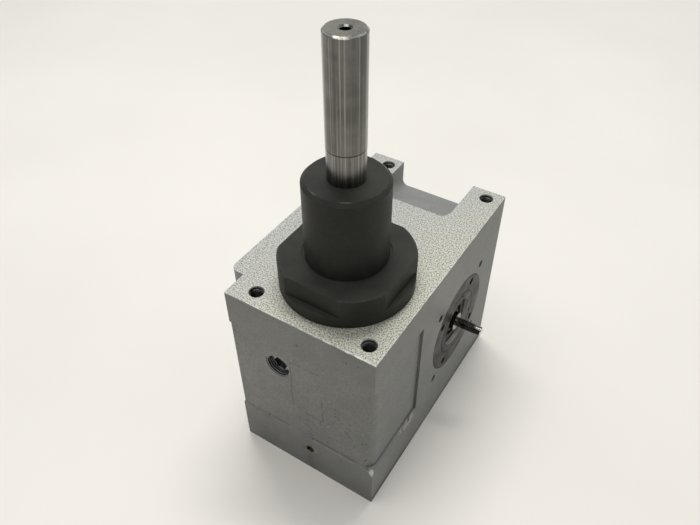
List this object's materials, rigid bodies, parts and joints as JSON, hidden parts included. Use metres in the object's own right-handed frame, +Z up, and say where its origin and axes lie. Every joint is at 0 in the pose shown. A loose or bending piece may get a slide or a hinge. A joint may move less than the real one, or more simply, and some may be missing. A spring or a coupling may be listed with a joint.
{
  "type": "right-angle worm gearbox",
  "caption": "Right-angle worm gearbox: cast block housing, slim input stub on one side, vertical steel output shaft held by a black clamp nut and sleeve.",
  "frame": {"origin": "on the output axis, level with the base face", "axes": "+Z up along the output shaft, +X towards the input stub, +Y to the back"},
  "size_m": [0.123, 0.16, 0.2726],
  "materials": {
    "silver_paint": "hammered silver paint with fine grain, milled faces brighter",
    "cover_paint": "silver paint",
    "turned_steel": "face-turned, concentric tool marks",
    "black_oxide": "black oxide, dull sheen",
    "screw_steel": "blackened",
    "zinc_plated_steel": "bright zinc with a blue tint",
    "plug_brass": "turned, worn",
    "seal_rubber": "matt",
    "bearing_steel": "polished",
    "pressed_steel": "pressed",
    "wheel_bronze": "hobbed bronze",
    "ground_steel": "ground, smudged"
  },
  "bodies": {
    "housing": {"bearing_adjusting_ring": "turned_steel", "bottom_cover": "cover_paint", "bottom_cover_o_ring": "seal_rubber", "bottom_cover_screws": "screw_steel", "housing": "silver_paint", "input_cover": "turned_steel", "input_cover_o_ring": "seal_rubber", "input_cover_screws": "screw_steel", "input_shaft_seal": "seal_rubber", "oil_drain_plug": "plug_brass", "oil_fill_plug": "zinc_plated_steel", "output_lower_outer_ring": "bearing_steel", "output_shaft_seal": "seal_rubber", "output_upper_outer_ring": "bearing_steel", "worm_end_cover": "cover_paint", "worm_end_cover_o_ring": "seal_rubber", "worm_end_cover_screws": "screw_steel", "worm_left_outer_ring": "bearing_steel", "worm_right_outer_ring": "bearing_steel"},
    "output": {"hollow_shaft": "ground_steel", "output_shaft": "ground_steel", "output_shaft_key": "ground_steel", "output_spacer": "ground_steel", "output_circlip": "pressed_steel", "worm_wheel": "wheel_bronze", "worm_wheel_screws": "screw_steel", "clamp_nut": "black_oxide", "clamp_sleeve": "black_oxide", "output_lower_inner_ring": "bearing_steel", "output_upper_inner_ring": "bearing_steel"},
    "worm": {"worm_shaft": "ground_steel", "worm_circlip": "pressed_steel", "worm_left_inner_ring": "bearing_steel", "worm_right_inner_ring": "bearing_steel"},
    "cage_output_lower": {"output_lower_cage": "pressed_steel", "output_lower_balls": "bearing_steel"},
    "cage_output_upper": {"output_upper_cage": "pressed_steel", "output_upper_balls": "bearing_steel"},
    "cage_worm_left": {"worm_left_cage": "pressed_steel", "worm_left_balls": "bearing_steel"},
    "cage_worm_right": {"worm_right_cage": "pressed_steel", "worm_right_balls": "bearing_steel"}
  },
  "joints": [
    {"name": "output_spin", "type": "hinge", "parent": "housing", "child": "output", "pos_m": [0, 0, 0.067], "axis": [0, 0, 1], "continuous": true},
    {"name": "worm_spin", "type": "hinge", "parent": "housing", "child": "worm", "pos_m": [0, 0.06, 0.067], "axis": [1, 0, 0], "continuous": true},
    {"name": "cage_output_lower_spin", "type": "hinge", "parent": "housing", "child": "cage_output_lower", "pos_m": [0, 0, 0.018], "axis": [0, 0, 1], "continuous": true},
    {"name": "cage_output_upper_spin", "type": "hinge", "parent": "housing", "child": "cage_output_upper", "pos_m": [0, 0, 0.117], "axis": [0, 0, 1], "continuous": true},
    {"name": "cage_worm_left_spin", "type": "hinge", "parent": "housing", "child": "cage_worm_left", "pos_m": [-0.041, 0.06, 0.067], "axis": [1, 0, 0], "continuous": true},
    {"name": "cage_worm_right_spin", "type": "hinge", "parent": "housing", "child": "cage_worm_right", "pos_m": [0.029, 0.06, 0.067], "axis": [1, 0, 0], "continuous": true}
  ],
  "couplings": [
    {"joint": "worm_spin", "follows": "output_spin", "ratio": 28},
    {"joint": "cage_output_lower_spin", "follows": "output_spin", "ratio": 0.41031},
    {"joint": "cage_output_upper_spin", "follows": "output_spin", "ratio": 0.41031},
    {"joint": "cage_worm_left_spin", "follows": "output_spin", "ratio": 11.132},
    {"joint": "cage_worm_right_spin", "follows": "output_spin", "ratio": 11.132}
  ]
}
